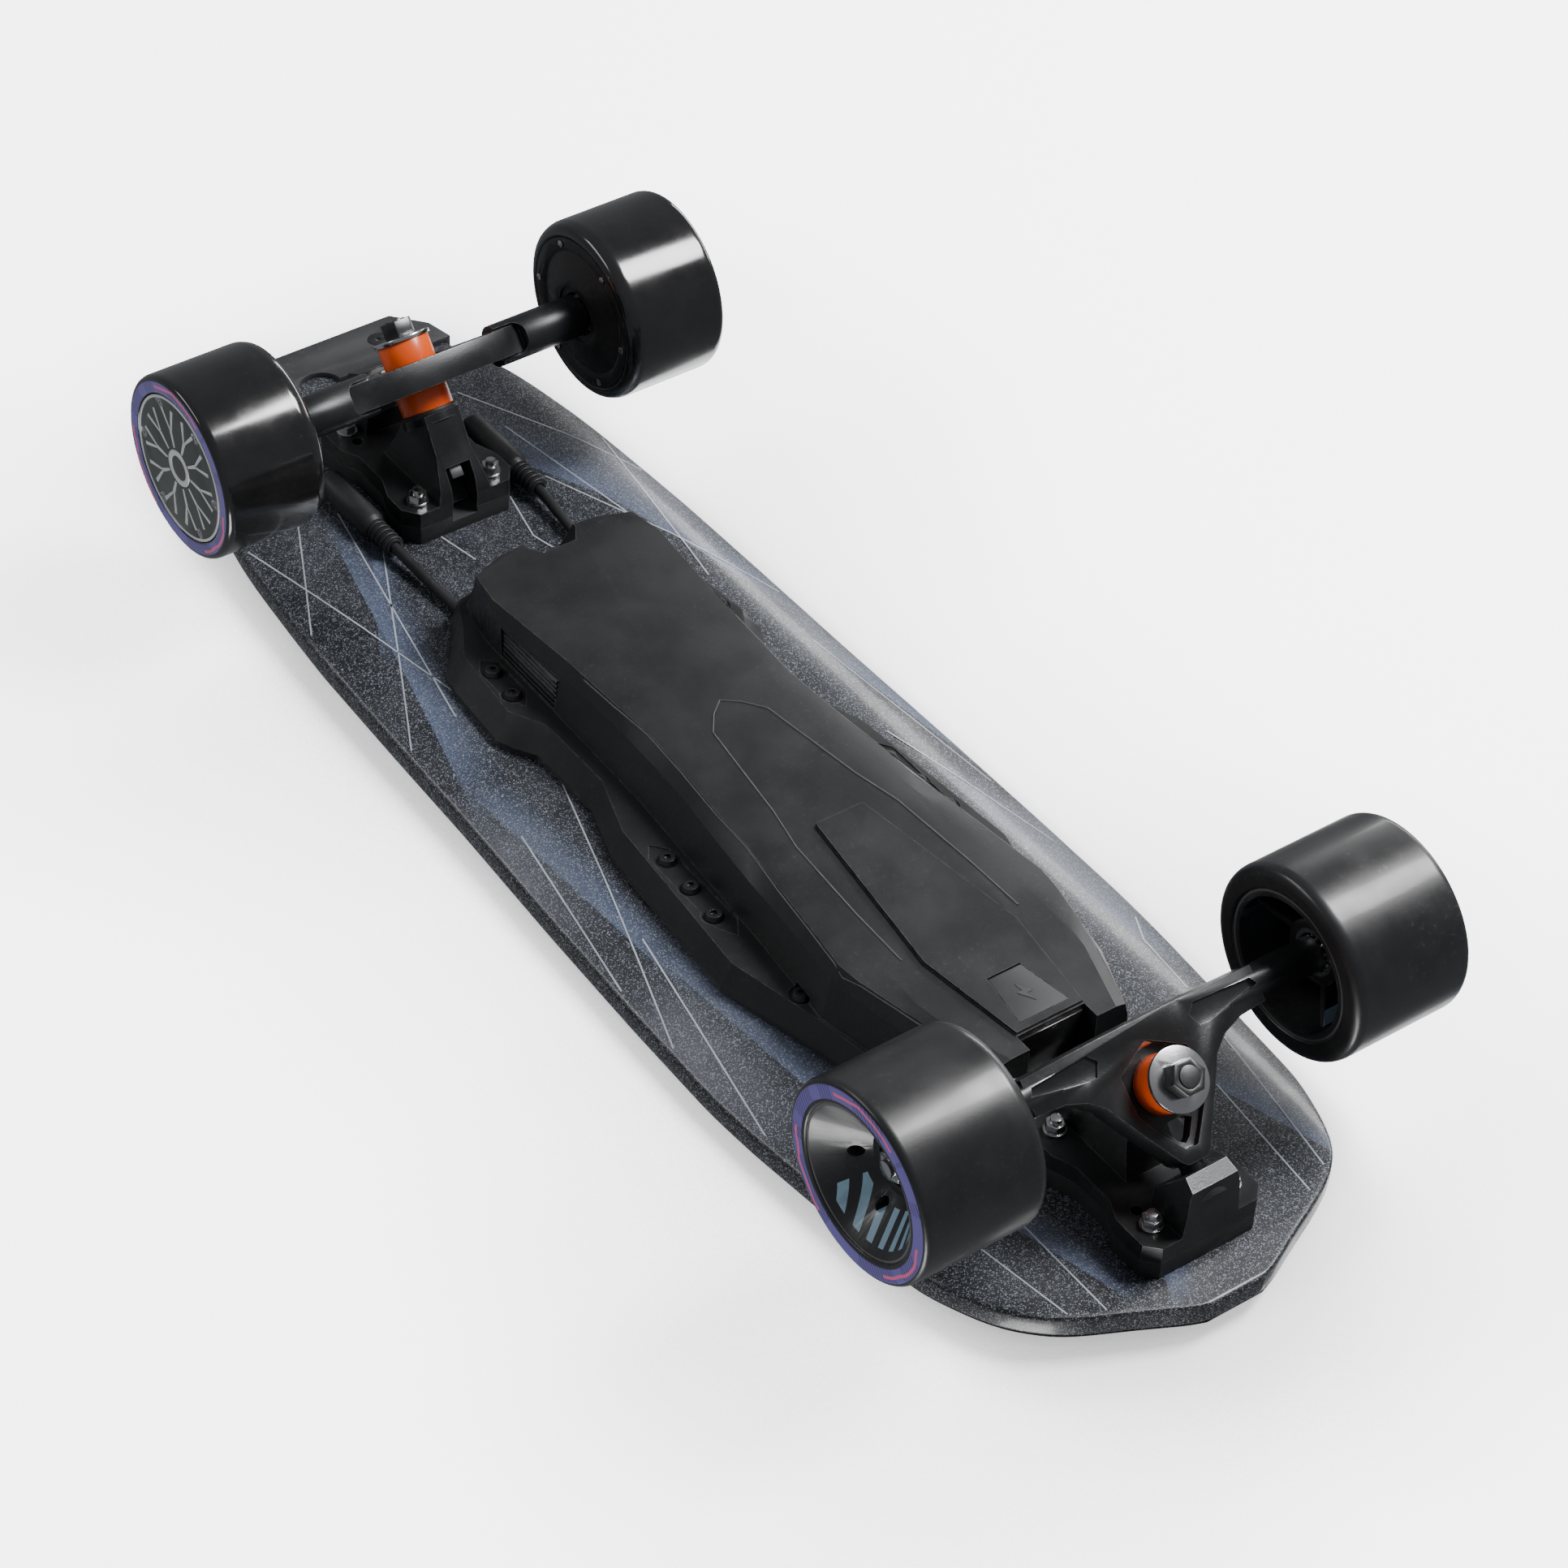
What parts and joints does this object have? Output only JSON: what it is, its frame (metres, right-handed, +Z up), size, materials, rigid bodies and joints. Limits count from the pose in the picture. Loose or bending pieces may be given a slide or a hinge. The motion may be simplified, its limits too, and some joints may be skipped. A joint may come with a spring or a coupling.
{
  "type": "electric skateboard",
  "caption": "Compact electric skateboard with a concave kicktail deck, reverse kingpin trucks, rear hub motors and a faceted electronics cover beneath.",
  "frame": {"origin": "on the road midway along the board, on its middle line", "axes": "+Z up as ridden, -Y towards the nose, +X to the rider's left"},
  "size_m": [0.284, 0.742, 0.1419],
  "materials": {
    "deck_print": "dark printed lacquer with fine glitter and thin pale lines",
    "grip": "coarse black abrasive sheet",
    "guard_plastic": "matte moulded plastic",
    "riser_rubber": "smooth black rubber",
    "cast_dark": "dark grey satin paint over cast aluminium",
    "bright_steel": "bright zinc plate",
    "dark_steel": "black oxide steel",
    "bushing_orange": "translucent orange urethane",
    "cup_rubber": "black urethane",
    "urethane_black": "black urethane with a printed ring",
    "core_plastic": "black moulded core",
    "motor_black": "black satin motor casing",
    "rotor_steel": "bare steel",
    "magnet": "nickel plated magnet",
    "lid_grey": "dark anodised lid with bright machined grooves",
    "stator_steel": "laminated steel",
    "copper": "enamelled copper wire",
    "cover_plastic": "fine grained black moulded plastic",
    "gasket_rubber": "closed cell foam",
    "screw_black": "black zinc",
    "fin_aluminium": "dark anodised fins",
    "board_green": "green solder mask",
    "cell_wrap": "blue heat shrink",
    "holder_plastic": "pale moulded plastic",
    "lead_red": "red silicone wire",
    "button_metal": "satin metal button",
    "switch_plastic": "black plastic",
    "socket_metal": "plated socket",
    "flap_rubber": "soft black rubber with a plain bolt symbol",
    "label_black": "gloss black plate, plain",
    "cable_rubber": "black cable jacket"
  },
  "bodies": {
    "board": {"deck": "deck_print", "grip_tape": "grip", "tail_guard": "guard_plastic", "tail_guard_screws": "dark_steel", "riser_pads": "riser_rubber", "baseplates": "cast_dark", "kingpins": "dark_steel", "kingpin_nuts": "dark_steel", "cup_washers": "bright_steel", "front_bushings": "bushing_orange", "rear_bushings": "bushing_orange", "pivot_cups": "cup_rubber", "truck_bolts": "bright_steel", "truck_nuts": "bright_steel", "electronics_cover": "cover_plastic", "gasket": "gasket_rubber", "cover_screws": "screw_black", "heat_sink": "fin_aluminium", "motor_controller": "board_green", "battery_cells": "cell_wrap", "cell_holders": "holder_plastic", "battery_board": "board_green", "battery_leads": "lead_red", "power_switch": "switch_plastic", "charge_socket": "socket_metal", "label_plate": "label_black", "motor_cables": "cable_rubber", "cable_plugs": "cable_rubber"},
    "front_truck": {"front_hanger": "cast_dark", "front_axle": "bright_steel", "front_axle_nuts": "bright_steel", "front_speed_washers": "bright_steel", "front_spacers": "bright_steel", "front_bearing_inners": "bright_steel"},
    "rear_truck": {"rear_hanger": "cast_dark", "motor_axles": "dark_steel", "stators": "stator_steel", "windings": "copper"},
    "front_left_wheel": {"front_left_tyre": "urethane_black", "front_left_core": "core_plastic", "front_left_bearings": "bright_steel"},
    "front_right_wheel": {"front_right_tyre": "urethane_black", "front_right_core": "core_plastic", "front_right_bearings": "bright_steel"},
    "rear_left_wheel": {"rear_left_tyre": "urethane_black", "rear_left_rotor": "rotor_steel", "rear_left_magnets": "magnet", "rear_left_lid": "lid_grey", "rear_left_inner_cover": "motor_black", "rear_left_screws": "bright_steel", "rear_left_bearings": "bright_steel"},
    "rear_right_wheel": {"rear_right_tyre": "urethane_black", "rear_right_rotor": "rotor_steel", "rear_right_magnets": "magnet", "rear_right_lid": "lid_grey", "rear_right_inner_cover": "motor_black", "rear_right_screws": "bright_steel", "rear_right_bearings": "bright_steel"},
    "power_button": {"power_button": "button_metal"},
    "charge_flap": {"charge_flap": "flap_rubber"}
  },
  "joints": [
    {"name": "front_steer", "type": "hinge", "parent": "board", "child": "front_truck", "pos_m": [0, -0.292, 0.045], "axis": [0, -0.7593, 0.6508], "range_deg": [-12, 12], "stiffness_Nm_per_rad": 45, "deforming": ["front_bushings"]},
    {"name": "rear_steer", "type": "hinge", "parent": "board", "child": "rear_truck", "pos_m": [0, 0.236, 0.045], "axis": [0, 0.7593, 0.6508], "range_deg": [-12, 12], "stiffness_Nm_per_rad": 45, "deforming": ["rear_bushings"]},
    {"name": "front_left_spin", "type": "hinge", "parent": "front_truck", "child": "front_left_wheel", "pos_m": [0.111, -0.292, 0.045], "axis": [1, 0, 0], "continuous": true},
    {"name": "front_right_spin", "type": "hinge", "parent": "front_truck", "child": "front_right_wheel", "pos_m": [-0.111, -0.292, 0.045], "axis": [1, 0, 0], "continuous": true},
    {"name": "rear_left_spin", "type": "hinge", "parent": "rear_truck", "child": "rear_left_wheel", "pos_m": [0.11, 0.236, 0.045], "axis": [1, 0, 0], "continuous": true},
    {"name": "rear_right_spin", "type": "hinge", "parent": "rear_truck", "child": "rear_right_wheel", "pos_m": [-0.11, 0.236, 0.045], "axis": [1, 0, 0], "continuous": true},
    {"name": "power_press", "type": "slide", "parent": "board", "child": "power_button", "axis": [0, 1, 0], "range_m": [0, 0.0012], "stiffness_N_per_m": 600, "springref_m": -0.0008},
    {"name": "charge_flap_hinge", "type": "hinge", "parent": "board", "child": "charge_flap", "pos_m": [0, -0.209, 0.07575], "axis": [1, 0, 0], "range_deg": [0, 100]}
  ]
}
